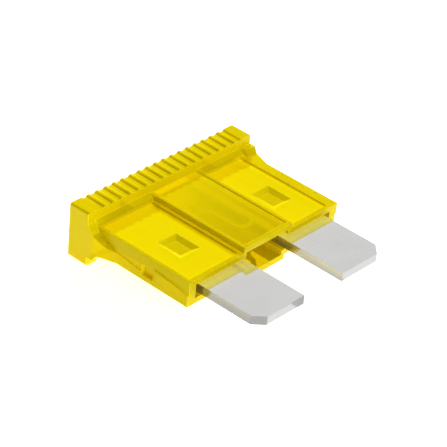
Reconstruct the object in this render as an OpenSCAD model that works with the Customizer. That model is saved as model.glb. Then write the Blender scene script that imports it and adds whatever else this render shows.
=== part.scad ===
// Automotive blade fuse, standard size, lying on one broad face.
// X runs across both blades, blades point to -Y, +Z is up.
// Origin: bottom centre of the overall box.

/* [Overall] */
// overall length from the head's back face to the blade tips
overall_l = 18.8; // [17.8:0.1:22]
// width of the head
head_w = 19.1; // [18.7:0.1:22]
// thickness of the head
head_t = 5.05; // [4.6:0.05:6]

/* [Housing body] */
// length of the whole housing, back face to open front
housing_l = 12.6; // [11.8:0.1:14]
// length of the head along Y
head_l = 2.12; // [1.9:0.02:2.3]
// width of the body between its plain sides, at the least
body_w = 17.44; // [17.2:0.04:17.8]
// thickness of the body at its side rims
body_t = 2.3; // [2.2:0.05:2.6]
// radius on the long corners of the head
head_r = 0.2; // [0.1:0.05:0.4]

/* [Head ribs] */
// number of grip ridges on each broad face, odd
rib_n = 17; // [13:2:17]
// spacing of the ridges
rib_pitch = 0.95; // [0.85:0.05:0.95]
// radius of a ridge
rib_r = 0.3; // [0.2:0.02:0.36]
// depth of the grooves between the ridges
rib_h = 0.16; // [0.1:0.02:0.18]

/* [Gusset and skirts] */
// height of the gusset under the head, both faces together
gusset_t = 3.3; // [3:0.05:3.4]
// distance from the back face where the gusset ends
gusset_l = 2.55; // [2.4:0.05:3.2]
// distance from the back face where a skirt starts to taper
flare_l = 2.7; // [2.5:0.1:3]
// distance from the back face where the taper ends
flare_end_l = 4.8; // [4.4:0.1:5.2]
// how far a skirt rail stands out from the body side
rail_d = 0.14; // [0.1:0.02:0.3]
// distance from the back face where the rail ends and the notch starts
rail_l = 7.5; // [6:0.1:7.8]
// radius of the sweep along the skirt's edge
sweep_r = 3; // [2.8:0.05:3.2]
// level of the rail's edge from the middle plane, on the far half
rail_z = 0.15; // [0.1:0.05:0.4]
// extra drop of the rail's edge at its end
rail_fall = 0.3; // [0.1:0.05:0.4]
// length of the notch between the rail and the ramp
notch_l = 1.3; // [0.8:0.1:2]
// depth of the notch below the body side
notch_d = 0.24; // [0.1:0.02:0.4]
// height of the foot that joins the rail and the ramp
foot_h = 0.4; // [0.15:0.05:0.5]
// level of the ramp's edge above the middle plane at the notch
ramp_z = 0.4; // [0.1:0.05:0.6]
// drop of the ramp's edge from the notch to the open front
ramp_fall = 0.5; // [0.2:0.05:0.7]

/* [Panels and window] */
// width of the raised window strip
window_w = 5.7; // [5.3:0.1:6]
// shift of the strip to the right on the upper face, to the left on the lower one
window_off = 0.3; // [0:0.05:0.3]
// height of the window strip, both faces together
window_t = 3.3; // [3.1:0.05:3.4]
// depth of the shallow recess in the window strip
window_d = 0.12; // [0.06:0.02:0.16]
// depth of the panels below the side rims
panel_d = 0.2; // [0.1:0.02:0.22]
// rim width around a panel on the plain side
rim_w = 0.32; // [0.2:0.02:0.5]
// rim width around a panel on the rail side
rail_rim_w = 0.84; // [0.6:0.02:1]
// rim width around a panel beside the window strip
strip_rim_w = 0.3; // [0.2:0.02:0.5]
// rim width along the open front
front_rim = 0.4; // [0.3:0.05:0.6]

/* [Inside] */
// thickness of the side walls
side_wall = 0.75; // [0.7:0.05:0.9]
// least gap between a blade's outer edge and the side wall
side_gap = 0.4; // [0.2:0.05:0.45]
// height of the cavity over the blades
cavity_t = 1.3; // [1.2:0.05:1.3]
// height of the cavity under the window strip
channel_t = 2.2; // [2.1:0.05:2.3]
// wall of the window strip at its sides
channel_wall = 0.35; // [0.3:0.01:0.5]
// distance from the back face to the closed end of the cavity
cavity_back = 1.8; // [1.5:0.05:2]
// width of a probe opening in the back of the head
probe_w = 2.2; // [1.6:0.1:3]
// height of a probe opening
probe_h = 0.9; // [0.6:0.05:1.1]

/* [Stakes] */
// distance between the two stakes across the part
stake_span = 11; // [10.6:0.1:11.4]
// distance of the stakes from the back face
stake_y = 8.25; // [7:0.05:9]
// width of a stake post
stake_w = 1.7; // [1.6:0.05:1.8]
// length of a stake post
stake_l = 2.2; // [2.1:0.05:2.4]
// mouth of a staking pocket, wider than its floor by twice this
pocket_flare = 0.48; // [0.2:0.02:0.5]
// depth of a staking pocket
pocket_d = 0.3; // [0.15:0.05:0.3]
// gap between a stake post and the hole it passes through
stake_gap = 0.1; // [0.06:0.02:0.2]

/* [Fuse element] */
// width of a blade
blade_w = 5.2; // [4.8:0.1:5.4]
// spacing of the blade centre lines
blade_pitch = 9.8; // [9.6:0.1:10]
// thickness of the blades
blade_t = 0.8; // [0.6:0.05:0.8]
// chamfer on the outer corner of each tip
tip_c = 0.9; // [0.5:0.1:1.5]
// gap between the element's rear edge and the cavity end
rear_gap = 0.35; // [0.2:0.05:0.8]
// width of the fusible strip
link_w = 0.36; // [0.25:0.01:0.4]
// thickness of the fusible strip
link_t = 0.3; // [0.2:0.02:0.34]
// radius of the two bends of the strip, on its centre line
link_r = 0.95; // [0.8:0.05:0.97]
// straight length between the two bends
link_l = 1.8; // [1.2:0.1:2.4]
// distance of the strip's middle from the back face
link_y = 8; // [7:0.1:9]
// gap between the raised strip and the window wall
link_gap = 0.1; // [0.06:0.02:0.3]

/* [Hidden] */
$fn = 48;
eps = 0.01;

// ridge field
rib_half = sqrt(rib_r * rib_r - (rib_r - rib_h) * (rib_r - rib_h));
field_w = (rib_n + 1) * rib_pitch - 2 * rib_half;
// fuse element, as far as the housing follows it
blade_in = (blade_pitch - blade_w) / 2;
blade_out = (blade_pitch + blade_w) / 2;
link_x = 2 * link_r;
link_out = link_x + link_w / 2;
// sides
body_x = max(body_w / 2, blade_out + side_gap + side_wall);
rail_x = body_x + rail_d;
// window strip on the upper face
strip_l = max(window_w / 2 - window_off, link_out + link_gap + channel_wall);
strip_r = window_w / 2 + window_off;
// run of the gusset's slope
slope_l = gusset_l - head_l;
// cavity
cavity_x = body_x - side_wall;
channel_back = gusset_l;
// pockets
pocket_floor_w = stake_w - 0.45;
pocket_floor_l = stake_l - 0.5;
panel_z = body_t / 2 - panel_d;
// fusible strip
link_top = channel_t / 2 - link_gap;

housing();
fuse_element();

// from the working frame (back face at Y = 0, middle plane at Z = 0) to the part's frame
module seat() {
    translate([0, overall_l / 2, head_t / 2]) children();
}

// a copy of its children and one turned half a turn about the insertion axis
module both_ways() {
    children();
    rotate([0, 180, 0]) children();
}

// box given by its limits, with Y counted from the back face
module block(x0, x1, y0, y1, z0, z1) {
    translate([x0, -y1, z0]) cube([x1 - x0, y1 - y0, z1 - z0]);
}

// extrudes an outline drawn as (distance from the back face, Z) from x0 to x1
module across(x0, x1) {
    translate([x0, 0, 0])
        rotate([0, 0, -90]) rotate([90, 0, 0]) mirror([0, 0, 1])
            linear_extrude(height = x1 - x0) children();
}

// rounded rectangle made of rectangles and circles
module rounded(w, h, r) {
    square([w - 2 * r, h], center = true);
    square([w, h - 2 * r], center = true);
    for (sx = [-1, 1], sy = [-1, 1])
        translate([sx * (w / 2 - r), sy * (h / 2 - r)]) circle(r);
}

module head() {
    difference() {
        rotate([90, 0, 0]) linear_extrude(height = head_l) rounded(head_w, head_t, head_r);
        both_ways()
            block(-field_w / 2, field_w / 2, -1, head_l + 1, head_t / 2 - rib_h, head_t);
    }
    both_ways()
        for (i = [0 : rib_n - 1])
            translate([(i - (rib_n - 1) / 2) * rib_pitch, 0, head_t / 2 - rib_r])
                rotate([90, 0, 0]) cylinder(r = rib_r, h = head_l);
}

// plain block with the sloping gusset behind it
module trunk() {
    g = gusset_t / 2;
    b = body_t / 2;
    across(-body_x, body_x)
        polygon([[head_l / 2, -g], [head_l, -g], [gusset_l, -b], [housing_l, -b],
                 [housing_l, b], [gusset_l, b], [head_l, g], [head_l / 2, g]]);
    both_ways() block(-strip_l, strip_r, head_l / 2, housing_l, 0, window_t / 2);
}

// flared skirt on the left side; its edge sweeps down from the head to a low rail
module skirt() {
    g = gusset_t / 2;
    b = body_t / 2;
    top = sweep_r - rail_z;
    intersection() {
        translate([0, 0, -g]) linear_extrude(height = 2 * g)
            polygon([[-body_x + side_wall / 2, -head_l / 2], [-head_w / 2, -head_l / 2],
                     [-head_w / 2, -flare_l], [-rail_x, -flare_end_l],
                     [-rail_x, -rail_l], [-body_x + side_wall / 2, -rail_l]]);
        across(-head_w, 0) difference() {
            polygon([[head_l / 2, -g], [flare_l, -g], [flare_l + slope_l, -b],
                     [rail_l, -b], [rail_l, g], [head_l / 2, g]]);
            translate([flare_end_l, top]) circle(sweep_r);
            polygon([[flare_end_l, -rail_z], [rail_l + eps, -rail_z - rail_fall],
                     [rail_l + eps, head_t], [flare_end_l, head_t]]);
        }
    }
}

// low foot and falling ramp that carry the rail on to the open front
module ramp() {
    b = body_t / 2;
    y0 = rail_l - rail_d;
    y1 = rail_l + notch_l;
    across(-rail_x, -body_x + side_wall / 2)
        polygon([[y0, -b], [housing_l, -b], [housing_l, ramp_z - ramp_fall], [y1, ramp_z],
                 [y1, -b + foot_h], [y0, -b + foot_h]]);
}

// notch between the rail and the ramp on the left side
module side_cuts() {
    block(-rail_x - 1, -body_x + notch_d, rail_l, rail_l + notch_l, -body_t / 2 + foot_h, rail_z);
}

// both panels and the window recess on the upper face
module face_cuts() {
    y1 = housing_l - front_rim;
    z1 = head_t / 2 - eps;
    block(-body_x + rim_w, -strip_l - strip_rim_w, gusset_l, y1, panel_z, body_t);
    block(strip_r + strip_rim_w, body_x - rail_rim_w, gusset_l, y1, panel_z, body_t);
    block(-strip_l + rim_w, strip_r - rim_w, head_l, y1, window_t / 2 - window_d, z1);
}

// sloping-sided pocket over one stake on the upper face
module pocket() {
    fw = pocket_floor_w / 2;
    fl = pocket_floor_l / 2;
    mw = fw + 2 * pocket_flare;
    ml = fl + 2 * pocket_flare;
    z0 = panel_z - pocket_d;
    translate([0, -stake_y, z0]) intersection() {
        rotate([90, 0, 0]) translate([0, 0, -stake_l]) linear_extrude(height = 2 * stake_l)
            polygon([[-fw, 0], [fw, 0], [mw, 2 * pocket_d], [-mw, 2 * pocket_d]]);
        rotate([90, 0, 90]) translate([0, 0, -stake_w]) linear_extrude(height = 2 * stake_w)
            polygon([[-fl, 0], [fl, 0], [ml, 2 * pocket_d], [-ml, 2 * pocket_d]]);
    }
}

module cavity() {
    c = cavity_t / 2;
    block(-cavity_x, cavity_x, cavity_back, housing_l + 1, -c, c);
    both_ways()
        block(-strip_l + channel_wall, strip_r - channel_wall,
              channel_back, housing_l + 1, 0, channel_t / 2);
    for (s = [-1, 1])
        translate([s * blade_pitch / 2, 0, 0])
            block(-probe_w / 2, probe_w / 2, -1, cavity_back + 1, -probe_h / 2, probe_h / 2);
}

module stake_posts(grow) {
    for (s = [-1, 1])
        translate([s * stake_span / 2, 0, 0])
            block(-stake_w / 2 - grow, stake_w / 2 + grow,
                  stake_y - stake_l / 2 - grow, stake_y + stake_l / 2 + grow,
                  -cavity_t / 2 - eps, cavity_t / 2 + eps);
}

// one-piece translucent moulding
module housing() {
    color([0.94, 0.84, 0.02, 0.9]) seat() difference() {
        union() {
            difference() {
                union() {
                    head();
                    trunk();
                    both_ways() {
                        skirt();
                        ramp();
                    }
                }
                cavity();
                both_ways() {
                    side_cuts();
                    face_cuts();
                }
            }
            stake_posts(0);
        }
        both_ways()
            for (s = [-1, 1])
                translate([s * stake_span / 2, 0, 0]) pocket();
    }
}

// right-hand blade
module blade() {
    x1 = blade_in + blade_w;
    translate([0, 0, -blade_t / 2]) linear_extrude(height = blade_t)
        polygon([[blade_in, -cavity_back - rear_gap], [x1, -cavity_back - rear_gap],
                 [x1, -overall_l + tip_c], [x1 - tip_c, -overall_l], [blade_in, -overall_l]]);
}

// outline of the right half of the S, drawn about the strip's middle
module link_half() {
    translate([-link_w / 2, -link_l / 2]) square([link_w, link_l / 2 + eps]);
    translate([link_r, -link_l / 2]) difference() {
        circle(link_r + link_w / 2);
        circle(link_r - link_w / 2);
        translate([-2 * link_r, 0]) square(4 * link_r);
    }
}

// leg that drops from the raised strip to the blade's inner edge
module link_leg() {
    z0 = blade_t / 2 - link_t;
    h = link_top - z0;
    translate([link_x - link_w / 2, -link_l / 2 - eps, z0]) cube([link_w, link_w + eps, h]);
    translate([link_x - link_w / 2, -link_l / 2 - eps, z0])
        cube([max(link_w, blade_in - link_x + link_w / 2 + 0.2), link_w + eps, link_t]);
}

// one stamped piece: two blades joined by the fusible strip
module fuse_element() {
    color([0.81, 0.81, 0.81]) seat() {
        difference() {
            union() {
                blade();
                mirror([1, 0, 0]) blade();
            }
            stake_posts(stake_gap);
        }
        translate([0, -link_y, 0]) {
            for (a = [0, 180])
                rotate([0, 0, a]) {
                    translate([0, 0, link_top - link_t]) linear_extrude(height = link_t)
                        link_half();
                    link_leg();
                }
        }
    }
}
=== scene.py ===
"""Automotive blade fuse lying on one broad face of its head.

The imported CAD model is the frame. Both of its nodes are copied, their edges are rounded as on
the real moulding and stamping, and each copy is dressed in its own finish.
"""
import logging
import math
from dataclasses import dataclass
from enum import Enum

import bmesh
import bpy
from mathutils import Matrix, Vector


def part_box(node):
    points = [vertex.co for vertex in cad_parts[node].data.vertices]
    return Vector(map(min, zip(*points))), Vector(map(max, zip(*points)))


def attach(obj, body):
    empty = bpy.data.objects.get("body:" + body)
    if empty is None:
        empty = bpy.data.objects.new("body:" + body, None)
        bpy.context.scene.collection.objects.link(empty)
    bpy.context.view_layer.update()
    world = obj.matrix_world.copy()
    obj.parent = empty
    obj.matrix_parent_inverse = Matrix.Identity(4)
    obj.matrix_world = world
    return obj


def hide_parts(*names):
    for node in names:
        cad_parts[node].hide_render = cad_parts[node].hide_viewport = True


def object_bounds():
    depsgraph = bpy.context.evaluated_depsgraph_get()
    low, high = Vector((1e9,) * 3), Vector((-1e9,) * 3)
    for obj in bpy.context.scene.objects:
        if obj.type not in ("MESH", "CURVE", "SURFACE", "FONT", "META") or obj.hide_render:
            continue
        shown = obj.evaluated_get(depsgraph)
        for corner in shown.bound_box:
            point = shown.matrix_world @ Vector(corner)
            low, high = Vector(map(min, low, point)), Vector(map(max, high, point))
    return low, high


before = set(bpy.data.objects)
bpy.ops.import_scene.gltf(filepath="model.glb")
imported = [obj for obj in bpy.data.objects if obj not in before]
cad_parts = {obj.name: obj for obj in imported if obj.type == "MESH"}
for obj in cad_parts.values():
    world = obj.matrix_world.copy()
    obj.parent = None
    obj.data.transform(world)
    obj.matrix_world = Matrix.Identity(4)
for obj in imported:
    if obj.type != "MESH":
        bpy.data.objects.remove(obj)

LOG = logging.getLogger("blade_fuse")
Socket = bpy.types.NodeSocket
Colour = tuple[float, float, float, float]
Triple = tuple[float, float, float]
Span = tuple[float, float]
Corners = tuple[Vector, Vector]
CAD_BOX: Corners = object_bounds()
WHOLE: Span = (0.0, 1.0)
EVEN: Triple = (1.0, 1.0, 1.0)
WHITE: Colour = (1.0, 1.0, 1.0, 1.0)


class Slot(Enum):
    """Names of the two material slots."""

    PLASTIC = "yellow_plastic"
    ZINC = "plated_zinc"


class Mask(Enum):
    """Masks painted on the meshes for the finishes to read."""

    EDGE = "edge_rounding"
    SHEARED = "sheared_side"
    # faces with a painted glow: light coming back from the metal, brighter shade on walls
    PAINTED_GLOW = "painted_glow_mask"
    WINDOW = "window_face"


@dataclass(frozen=True)
class Pattern:
    """A noise pattern.

    The scale is in repeats per metre, the detail is the number of finer layers, and the stretch
    is a factor on the coordinate along each axis.
    """

    scale: float
    detail: float
    stretch: Triple = EVEN


@dataclass
class NodeSheet:
    """A node tree with short calls for adding and joining nodes."""

    tree: bpy.types.NodeTree
    column: int = 0
    column_width: float = 190.0

    def add(self, kind: str, **settings: object) -> bpy.types.Node:
        """Adds a node to the right of the last one.

        Args:
            kind: Blender's name for the node type.
            settings: Attributes to set on the node.

        Returns:
            The new node.
        """
        node = self.tree.nodes.new(kind)
        node.location = (self.column_width * self.column, 0.0)
        self.column += 1
        for name, value in settings.items():
            setattr(node, name, value)
        return node

    def join(self, start: Socket, end: Socket) -> None:
        """Links an output to an input."""
        self.tree.links.new(start, end)

    def stretched(self, vector: Socket, amounts: Triple) -> Socket:
        """Scales a coordinate along each axis.

        Args:
            vector: Coordinate to scale.
            amounts: Factors for X, Y and Z.

        Returns:
            The scaled coordinate.
        """
        node = self.add("ShaderNodeVectorMath", operation="MULTIPLY")
        self.join(vector, node.inputs[0])
        node.inputs[1].default_value = amounts
        return node.outputs[0]

    def noise(self, vector: Socket, pattern: Pattern) -> Socket:
        """Adds a noise pattern.

        Args:
            vector: Coordinate that the pattern follows.
            pattern: Size, fineness and stretch of the pattern.

        Returns:
            The pattern's value, from 0 to 1.
        """
        if pattern.stretch != EVEN:
            vector = self.stretched(vector, pattern.stretch)
        node = self.add("ShaderNodeTexNoise")
        self.join(vector, node.inputs["Vector"])
        node.inputs["Scale"].default_value = pattern.scale
        node.inputs["Detail"].default_value = pattern.detail
        return node.outputs["Fac"]

    def spread(self, value: Socket, span: Span, onto: Span) -> Socket:
        """Maps a value from one range onto another, held inside it.

        Args:
            value: Value to map.
            span: Range of the value.
            onto: What the ends of that range become.

        Returns:
            The mapped value.
        """
        node = self.add("ShaderNodeMapRange")
        self.join(value, node.inputs[0])
        for index, number in enumerate((*span, *onto), start=1):
            node.inputs[index].default_value = number
        return node.outputs[0]

    def total(self, first: Socket, second: Socket, share: float) -> Socket:
        """Adds a share of the second value to the first.

        Args:
            first: Value kept whole.
            second: Value of which a share is added.
            share: Factor on the second value.

        Returns:
            The sum.
        """
        node = self.add("ShaderNodeMath", operation="MULTIPLY_ADD")
        self.join(second, node.inputs[0])
        node.inputs[1].default_value = share
        self.join(first, node.inputs[2])
        return node.outputs[0]

    def product(self, first: Socket, second: Socket) -> Socket:
        """Multiplies two values.

        Args:
            first: One value.
            second: The other value.

        Returns:
            The product.
        """
        node = self.add("ShaderNodeMath", operation="MULTIPLY")
        self.join(first, node.inputs[0])
        self.join(second, node.inputs[1])
        return node.outputs[0]

    def blended(self, factor: Socket, first: Socket | Colour, second: Socket | Colour) -> Socket:
        """Mixes two colours.

        Args:
            factor: 0 gives the first colour and 1 the second.
            first: A colour, or an output that gives one.
            second: A colour, or an output that gives one.

        Returns:
            The mixed colour.
        """
        node = self.add("ShaderNodeMix", data_type="RGBA")
        self.join(factor, node.inputs[0])
        for socket, colour in ((node.inputs[6], first), (node.inputs[7], second)):
            if isinstance(colour, tuple):
                socket.default_value = colour
            else:
                self.join(colour, socket)
        return node.outputs[2]

    def mask(self, name: Mask) -> Socket:
        """Reads one of the masks painted on the mesh."""
        return self.add("ShaderNodeAttribute", attribute_name=name.value).outputs["Fac"]

    def masked_group(self, tree: bpy.types.NodeTree, masks: dict[str, Mask]) -> bpy.types.Node:
        """Adds a node group that follows the object's own coordinates and painted masks.

        Args:
            tree: The node group.
            masks: The mask that goes into each of its inputs.

        Returns:
            The group's node.
        """
        place = self.add("ShaderNodeTexCoord")
        node = self.add("ShaderNodeGroup", node_tree=tree)
        self.join(place.outputs["Object"], node.inputs["Position"])
        for label, mask in masks.items():
            self.join(self.mask(mask), node.inputs[label])
        return node

    def bumped(self, height: Socket, strength: float, depth: float) -> Socket:
        """Turns a height into a normal.

        Args:
            height: The height.
            strength: How much of the bump is used.
            depth: Depth of a height of 1, in metres.

        Returns:
            The normal.
        """
        node = self.add("ShaderNodeBump")
        node.inputs["Strength"].default_value = strength
        node.inputs["Distance"].default_value = depth
        self.join(height, node.inputs["Height"])
        return node.outputs["Normal"]


def new_group(name: str, *masks: str) -> tuple[NodeSheet, bpy.types.Node, bpy.types.Node]:
    """Starts a node group that gives a colour, a roughness and a height.

    Args:
        name: Name of the group.
        masks: Names of its inputs beside Position.

    Returns:
        The group's sheet, its input node and its output node.
    """
    tree = bpy.data.node_groups.new(name, "ShaderNodeTree")
    tree.interface.new_socket("Position", in_out="INPUT", socket_type="NodeSocketVector")
    for label in masks:
        tree.interface.new_socket(label, in_out="INPUT", socket_type="NodeSocketFloat")
    tree.interface.new_socket("Colour", in_out="OUTPUT", socket_type="NodeSocketColor")
    tree.interface.new_socket("Roughness", in_out="OUTPUT", socket_type="NodeSocketFloat")
    tree.interface.new_socket("Height", in_out="OUTPUT", socket_type="NodeSocketFloat")
    sheet = NodeSheet(tree)
    return sheet, sheet.add("NodeGroupInput"), sheet.add("NodeGroupOutput")


def new_material(name: str) -> tuple[bpy.types.Material, NodeSheet]:
    """Starts a material with an empty node tree.

    Args:
        name: Name of the material.

    Returns:
        The material and the sheet of its node tree.
    """
    made = bpy.data.materials.new(name)
    made.use_nodes = True
    made.node_tree.nodes.clear()
    return made, NodeSheet(made.node_tree)


@dataclass(frozen=True)
class MouldedPlastic:
    """See-through yellow moulding compound with a polished, faintly uneven skin, painted glow
    and painted edge highlights.
    """

    body: Colour = (0.69, 0.555, 0.0, 1.0)
    deep: Colour = (0.64, 0.515, 0.0, 1.0)
    # painted glow: brighter yellow for light from the metal below and for brightened wall shade
    painted_glow: Colour = (0.84, 0.69, 0.0, 1.0)
    # painted highlight along the rounded edges
    rounded: Colour = (0.9, 0.75, 0.01, 1.0)
    seen_through: Colour = (0.82, 0.68, 0.0, 1.0)
    light_through: Colour = (0.88, 0.83, 0.02, 1.0)
    clearness: float = 0.1
    window_clearness: float = 0.44
    reflected: Colour = (1.0, 0.85, 0.02, 1.0)
    refraction: float = 1.49
    specular: float = 0.1
    cloud: Pattern = Pattern(240.0, 3.0)
    flow: Pattern = Pattern(1500.0, 2.0, (1.0, 0.22, 1.0))
    peel: Pattern = Pattern(5200.0, 2.0)
    noise_span: Span = (0.3, 0.7)
    roughness: Span = (0.2, 0.3)
    edge_roughness: float = 0.06
    # share of the painted edge highlight
    edge_highlight_share: float = 0.8
    peel_share: float = 0.7
    bump_strength: float = 0.12
    bump_depth: float = 0.00002

    def tone(self) -> bpy.types.NodeTree:
        """Makes the group that varies the compound's colour, gloss and skin, and paints its glow
        and edge highlights.

        Returns:
            The node group.
        """
        sheet, start, end = new_group("MouldedPlasticTone", "Edge", "PaintedGlow")
        place = start.outputs["Position"]
        edge = start.outputs["Edge"]
        cloud = sheet.noise(place, self.cloud)
        flow = sheet.noise(place, self.flow)
        peel = sheet.noise(place, self.peel)
        colour = sheet.blended(sheet.spread(cloud, self.noise_span, WHOLE), self.body, self.deep)
        # painted glow over the blades, over the strip and on steep walls
        colour = sheet.blended(start.outputs["PaintedGlow"], colour, self.painted_glow)
        # painted highlight on the rounded edges
        highlight = sheet.spread(edge, WHOLE, (0.0, self.edge_highlight_share))
        sheet.join(sheet.blended(highlight, colour, self.rounded), end.inputs["Colour"])
        rough = sheet.spread(flow, self.noise_span, self.roughness)
        sheet.join(sheet.total(rough, edge, self.edge_roughness), end.inputs["Roughness"])
        sheet.join(sheet.total(flow, peel, self.peel_share), end.inputs["Height"])
        return sheet.tree

    def material(self) -> bpy.types.Material:
        """Makes the material.

        Returns:
            A material whose outer skin lets part of the view and most of the light through.
        """
        made, sheet = new_material("moulded_plastic")
        tone = sheet.masked_group(self.tone(), {"Edge": Mask.EDGE, "PaintedGlow": Mask.PAINTED_GLOW})
        normal = sheet.bumped(tone.outputs["Height"], self.bump_strength, self.bump_depth)
        skin = sheet.add("ShaderNodeBsdfPrincipled")
        skin.inputs["IOR"].default_value = self.refraction
        skin.inputs["Specular IOR Level"].default_value = self.specular
        skin.inputs["Specular Tint"].default_value = self.reflected
        sheet.join(tone.outputs["Colour"], skin.inputs["Base Color"])
        sheet.join(tone.outputs["Roughness"], skin.inputs["Roughness"])
        sheet.join(normal, skin.inputs["Normal"])
        inside = sheet.add("ShaderNodeBsdfTransparent")
        inside.inputs["Color"].default_value = self.seen_through
        side = sheet.add("ShaderNodeNewGeometry")
        window = sheet.mask(Mask.WINDOW)
        clear = sheet.spread(window, WHOLE, (self.clearness, self.window_clearness))
        factor = sheet.total(clear, side.outputs["Backfacing"], 1.0)
        seen = sheet.add("ShaderNodeMixShader")
        sheet.join(factor, seen.inputs[0])
        sheet.join(skin.outputs[0], seen.inputs[1])
        sheet.join(inside.outputs[0], seen.inputs[2])
        passing = sheet.add("ShaderNodeBsdfTransparent")
        passing.inputs["Color"].default_value = self.light_through
        path = sheet.add("ShaderNodeLightPath")
        whole = sheet.add("ShaderNodeMixShader")
        sheet.join(path.outputs["Is Shadow Ray"], whole.inputs[0])
        sheet.join(seen.outputs[0], whole.inputs[1])
        sheet.join(passing.outputs[0], whole.inputs[2])
        out = sheet.add("ShaderNodeOutputMaterial")
        sheet.join(whole.outputs[0], out.inputs["Surface"])
        return made


@dataclass(frozen=True)
class PlatedZinc:
    """Rolled and plated sheet, with drawn lines along it, darker, shinier sheared sides and a
    painted dark shade line on its rounded edges.
    """

    face: Colour = (0.86, 0.86, 0.85, 1.0)
    dull: Colour = (0.81, 0.81, 0.81, 1.0)
    # painted shade: near-black line on the rounded edges
    painted_edge_shade: Colour = (0.1, 0.1, 0.1, 1.0)
    sheared: Colour = (0.3, 0.3, 0.3, 1.0)
    cloud: Pattern = Pattern(420.0, 4.0)
    drawn: Pattern = Pattern(6500.0, 2.0, (1.0, 0.05, 1.0))
    torn: Pattern = Pattern(5200.0, 3.0, (1.0, 1.0, 0.15))
    cloud_span: Span = (0.3, 0.7)
    drawn_span: Span = (0.35, 0.75)
    drawn_share: float = 0.35
    sheared_share: float = 0.85
    # share of the painted edge shade
    edge_shade_share: float = 0.9
    torn_share: float = 0.5
    roughness: Span = (0.24, 0.34)
    sheared_roughness: float = -0.14
    metallic: Span = (0.35, 0.92)
    bump_strength: float = 0.1
    bump_depth: float = 0.00001

    def tone(self) -> bpy.types.NodeTree:
        """Makes the group that varies the plating's colour, gloss and drawn lines, and paints
        edge shade lines.

        Returns:
            The node group.
        """
        sheet, start, end = new_group("PlatedZincTone", "Edge", "Sheared")
        place = start.outputs["Position"]
        side = start.outputs["Sheared"]
        cloud = sheet.noise(place, self.cloud)
        drawn = sheet.noise(place, self.drawn)
        torn = sheet.product(sheet.noise(place, self.torn), side)
        colour = sheet.blended(sheet.spread(cloud, self.cloud_span, WHOLE), self.face, self.dull)
        lines = sheet.spread(drawn, self.drawn_span, (0.0, self.drawn_share))
        colour = sheet.blended(lines, colour, self.dull)
        cut = sheet.spread(side, WHOLE, (0.0, self.sheared_share))
        colour = sheet.blended(cut, colour, self.sheared)
        # painted dark shade line on the rounded edges
        edge_shade = sheet.spread(start.outputs["Edge"], WHOLE, (0.0, self.edge_shade_share))
        sheet.join(sheet.blended(edge_shade, colour, self.painted_edge_shade), end.inputs["Colour"])
        rough = sheet.spread(cloud, self.cloud_span, self.roughness)
        sheet.join(sheet.total(rough, side, self.sheared_roughness), end.inputs["Roughness"])
        sheet.join(sheet.total(drawn, torn, self.torn_share), end.inputs["Height"])
        return sheet.tree

    def material(self) -> bpy.types.Material:
        """Makes the material.

        Returns:
            A satin metal material, nearly a mirror on the sheared sides.
        """
        made, sheet = new_material("plated_zinc_sheet")
        tone = sheet.masked_group(self.tone(), {"Edge": Mask.EDGE, "Sheared": Mask.SHEARED})
        normal = sheet.bumped(tone.outputs["Height"], self.bump_strength, self.bump_depth)
        shine = sheet.spread(sheet.mask(Mask.SHEARED), WHOLE, self.metallic)
        metal = sheet.add("ShaderNodeBsdfPrincipled")
        sheet.join(shine, metal.inputs["Metallic"])
        sheet.join(tone.outputs["Colour"], metal.inputs["Base Color"])
        sheet.join(tone.outputs["Roughness"], metal.inputs["Roughness"])
        sheet.join(normal, metal.inputs["Normal"])
        out = sheet.add("ShaderNodeOutputMaterial")
        sheet.join(metal.outputs[0], out.inputs["Surface"])
        return made


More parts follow.
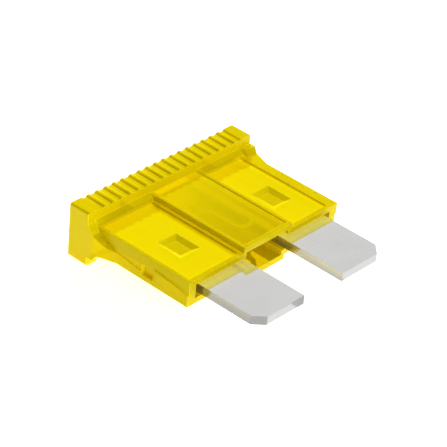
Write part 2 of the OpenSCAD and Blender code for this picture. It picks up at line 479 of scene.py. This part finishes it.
@dataclass
class RoundedCopy:
    """A copy of a CAD node with merged faces and rounded edges, which stands for the node.

    The sizes are in metres and the angles in degrees. Each pair of levels is a range of heights
    above or below the node's middle plane: the over-blade levels pick the outward faces over the
    blades, the wall levels the steep faces, and the window levels the outward faces over the
    fusible strip. These faces get a painted glow, which stands for light coming back from the
    metal and brightens the shade on the steep walls. The slopes are the sizes of a normal's Z
    part.
    """

    node: str
    name: str
    slot: Slot
    rounding: float
    segments: int = 2
    sharp: float = 28.0
    flat: float = 0.4
    merged: float = 1e-7
    upright_slope: float = 0.3
    level_slope: float = 0.9
    over_blade_levels: Span = (0.0, 0.0)
    wall_levels: Span = (0.0, 0.0)
    window_levels: Span = (0.0, 0.0)
    # shares of painted glow on the strip's outward faces and on the steep walls
    window_glow: float = 0.7
    wall_glow: float = 0.55

    def rounded_mesh(self) -> bpy.types.Mesh:
        """Builds the mesh.

        Returns:
            The node's mesh with coplanar triangles joined and its sharp edges rounded.
        """
        work = bmesh.new()
        work.from_mesh(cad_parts[self.node].data)
        bmesh.ops.remove_doubles(work, verts=work.verts[:], dist=self.merged)
        bmesh.ops.dissolve_limit(
            work,
            angle_limit=math.radians(self.flat),
            use_dissolve_boundaries=False,
            verts=work.verts[:],
            edges=work.edges[:],
            delimit={"NORMAL"},
        )
        sharp = math.radians(self.sharp)
        corners = [e for e in work.edges if e.is_manifold and e.calc_face_angle(0.0) > sharp]
        strips = bmesh.ops.bevel(
            work,
            geom=corners,
            offset=self.rounding,
            offset_type="OFFSET",
            affect="EDGES",
            segments=self.segments,
            profile=0.5,
            clamp_overlap=True,
            material=-1,
        )["faces"]
        self.paint(work, set(strips))
        for face in work.faces:
            face.smooth = True
        mesh = bpy.data.meshes.new(self.name)
        work.to_mesh(mesh)
        work.free()
        return mesh

    def paint(self, work: bmesh.types.BMesh, strips: set[bmesh.types.BMFace]) -> None:
        """Paints the masks that the finishes read, among them the share of painted glow.

        Args:
            work: Mesh in the making.
            strips: Faces of the rounded edges.
        """
        edge = work.loops.layers.float.new(Mask.EDGE.value)
        sheared = work.loops.layers.float.new(Mask.SHEARED.value)
        painted_glow = work.loops.layers.float.new(Mask.PAINTED_GLOW.value)
        window = work.loops.layers.float.new(Mask.WINDOW.value)
        low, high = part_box(self.node)
        middle = (low.z + high.z) / 2
        for face in work.faces:
            slope = abs(face.normal.z)
            height = face.calc_center_median().z - middle
            level = abs(height)
            plain = face not in strips
            outward = plain and face.normal.z * height > 0.0
            over_link = outward and self.window_levels[0] < level < self.window_levels[1]
            over_metal = outward and self.over_blade_levels[0] < level < self.over_blade_levels[1]
            steep = plain and slope < self.level_slope
            wall = steep and self.wall_levels[0] < level < self.wall_levels[1]
            # painted glow: full over the blades, partial over the strip and on steep walls
            glow_amount = over_metal + self.window_glow * over_link + self.wall_glow * wall
            for loop in face.loops:
                to_front = (high.y - loop.vert.co.y) / (high.y - low.y)
                loop[edge] = float(not plain)
                loop[sheared] = float(plain and slope < self.upright_slope)
                loop[painted_glow] = float(glow_amount)
                loop[window] = to_front if over_link else 0.0

    def build(self) -> bpy.types.Object:
        """Makes the piece and hides the node that it stands for.

        Returns:
            The piece, still undressed.
        """
        piece = bpy.data.objects.new(self.name, self.rounded_mesh())
        bpy.context.scene.collection.objects.link(piece)
        normals = piece.modifiers.new("even_normals", "WEIGHTED_NORMAL")
        normals.keep_sharp = True
        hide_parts(self.node)
        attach(piece, "root")
        return piece


@dataclass
class Housing:
    """The one-piece plastic housing: head with grip ribs, body, window strip and skirts."""

    rounding: float = 0.00005
    # faces at these levels get the painted glow
    over_blade_levels: Span = (0.00067, 0.00096)
    wall_levels: Span = (0.00097, 0.00164)
    window_levels: Span = (0.00152, 0.00154)
    finish: MouldedPlastic = MouldedPlastic()

    def make(self) -> bpy.types.Object:
        """Builds and dresses the housing.

        Returns:
            The housing.
        """
        piece = RoundedCopy(
            "housing",
            "housing_shell",
            Slot.PLASTIC,
            self.rounding,
            over_blade_levels=self.over_blade_levels,
            wall_levels=self.wall_levels,
            window_levels=self.window_levels,
        ).build()
        piece.data.materials.append(self.finish.material())
        return piece


@dataclass
class FuseElement:
    """The stamped element: two blades joined by the S-shaped fusible strip."""

    rounding: float = 0.0001
    finish: PlatedZinc = PlatedZinc()

    def make(self) -> bpy.types.Object:
        """Builds and dresses the element.

        Returns:
            The element.
        """
        piece = RoundedCopy("fuse_element", "stamped_element", Slot.ZINC, self.rounding).build()
        piece.data.materials.append(self.finish.material())
        return piece


@dataclass
class Studio:
    """Pale floor, lights and the camera.

    Lengths are in metres and angles in degrees, and the lens and its sensor in millimetres.
    """

    floor_reach: float = 0.6
    floor_gap: float = 0.00001
    paper: Colour = (0.9, 0.9, 0.9, 1.0)
    paper_roughness: float = 0.9
    paper_glow: float = 0.8
    sky: float = 0.12
    key_strength: float = 5.2
    key_spread: float = 1.5
    key_travel: Triple = (-0.85, -1.0, -0.85)
    fill_strength: float = 2.0
    fill_spread: float = 40.0
    fill_travel: Triple = (0.15, 1.2, -0.2)
    eye: Triple = (-0.106326, -0.087090, 0.094286)
    right: Triple = (0.678982, -0.729297, 0.084310)
    up: Triple = (0.356469, 0.427893, 0.830564)
    lens: float = 165.08
    sensor: float = 36.0
    seen_range: Span = (0.005, 5.0)

    def floor(self) -> None:
        """Lays the floor under the lowest point of the object."""
        work = bmesh.new()
        bmesh.ops.create_grid(work, x_segments=2, y_segments=2, size=self.floor_reach)
        level = CAD_BOX[0].z - self.floor_gap
        bmesh.ops.translate(work, verts=work.verts[:], vec=(0.0, 0.0, level))
        mesh = bpy.data.meshes.new("studio_floor")
        work.to_mesh(mesh)
        work.free()
        piece = bpy.data.objects.new("studio_floor", mesh)
        bpy.context.scene.collection.objects.link(piece)
        made = bpy.data.materials.new("pale_paper")
        made.use_nodes = True
        skin = made.node_tree.nodes["Principled BSDF"]
        skin.inputs["Base Color"].default_value = self.paper
        skin.inputs["Roughness"].default_value = self.paper_roughness
        skin.inputs["Emission Color"].default_value = WHITE
        skin.inputs["Emission Strength"].default_value = self.paper_glow
        mesh.materials.append(made)

    def lights(self) -> None:
        """Sets a dim even sky, a low key light from behind the head and a soft front fill."""
        world = bpy.data.worlds.new("even_sky")
        world.use_nodes = True
        background = world.node_tree.nodes["Background"]
        background.inputs["Color"].default_value = WHITE
        background.inputs["Strength"].default_value = self.sky
        bpy.context.scene.world = world
        self.lamp("key", self.key_strength, self.key_spread, self.key_travel)
        self.lamp("fill", self.fill_strength, self.fill_spread, self.fill_travel)

    def lamp(self, name: str, strength: float, spread: float, travel: Triple) -> None:
        """Hangs a distant lamp whose light is seen in matt surfaces, not in glossy ones.

        Args:
            name: Name of the lamp.
            strength: Strength of its light.
            spread: Its width as seen from the object, in degrees.
            travel: Direction in which its light travels.
        """
        sun = bpy.data.lights.new(name, "SUN")
        sun.energy = strength
        sun.angle = math.radians(spread)
        lamp = bpy.data.objects.new(name, sun)
        lamp.rotation_mode = "QUATERNION"
        lamp.rotation_quaternion = Vector(travel).to_track_quat("-Z", "Y")
        lamp.visible_glossy = False
        bpy.context.scene.collection.objects.link(lamp)

    def camera(self) -> None:
        """Sets the camera."""
        seen = bpy.data.cameras.new("view")
        seen.sensor_width = self.sensor
        seen.lens = self.lens
        seen.clip_start, seen.clip_end = self.seen_range
        camera = bpy.data.objects.new("view", seen)
        right, up = Vector(self.right), Vector(self.up)
        turn = Matrix((right, up, right.cross(up))).transposed()
        camera.matrix_world = Matrix.Translation(self.eye) @ turn.to_4x4()
        bpy.context.scene.collection.objects.link(camera)
        bpy.context.scene.camera = camera

    def make(self) -> None:
        """Builds the whole studio."""
        self.floor()
        self.lights()
        self.camera()
        bpy.context.scene.view_settings.view_transform = "Standard"


def main() -> None:
    """Builds the studio and the two pieces, and reports each one."""
    logging.basicConfig(level=logging.INFO, format="%(name)s: %(message)s")
    Studio().make()
    for part in (Housing(), FuseElement()):
        piece = part.make()
        LOG.info("%s has %d faces", piece.name, len(piece.data.polygons))
    bpy.context.view_layer.update()


if __name__ == "__main__":
    main()
